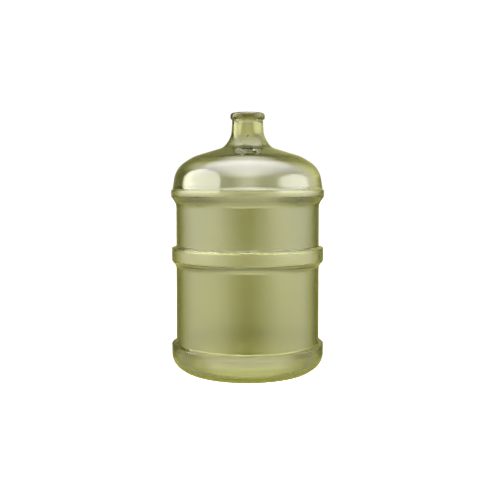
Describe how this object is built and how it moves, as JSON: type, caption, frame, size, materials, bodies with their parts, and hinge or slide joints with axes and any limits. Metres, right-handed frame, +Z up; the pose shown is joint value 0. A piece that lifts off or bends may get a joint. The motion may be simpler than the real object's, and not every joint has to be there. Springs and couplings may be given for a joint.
{
  "type": "glass carboy",
  "caption": "Large round olive green glass bottle with hoops around its barrel, a flared foot, a domed shoulder, a short neck and a rolled lip.",
  "frame": {"origin": "centre of the circle that the bottle stands on, at floor level", "axes": "+Z up along the bottle's axis, through the mouth; -Y is the front, along one of the two mould seams"},
  "size_m": [0.279, 0.2788, 0.472],
  "materials": {
    "olive_glass": "gloss"
  },
  "bodies": {
    "root": {"glass_bottle": "olive_glass"}
  },
  "joints": []
}
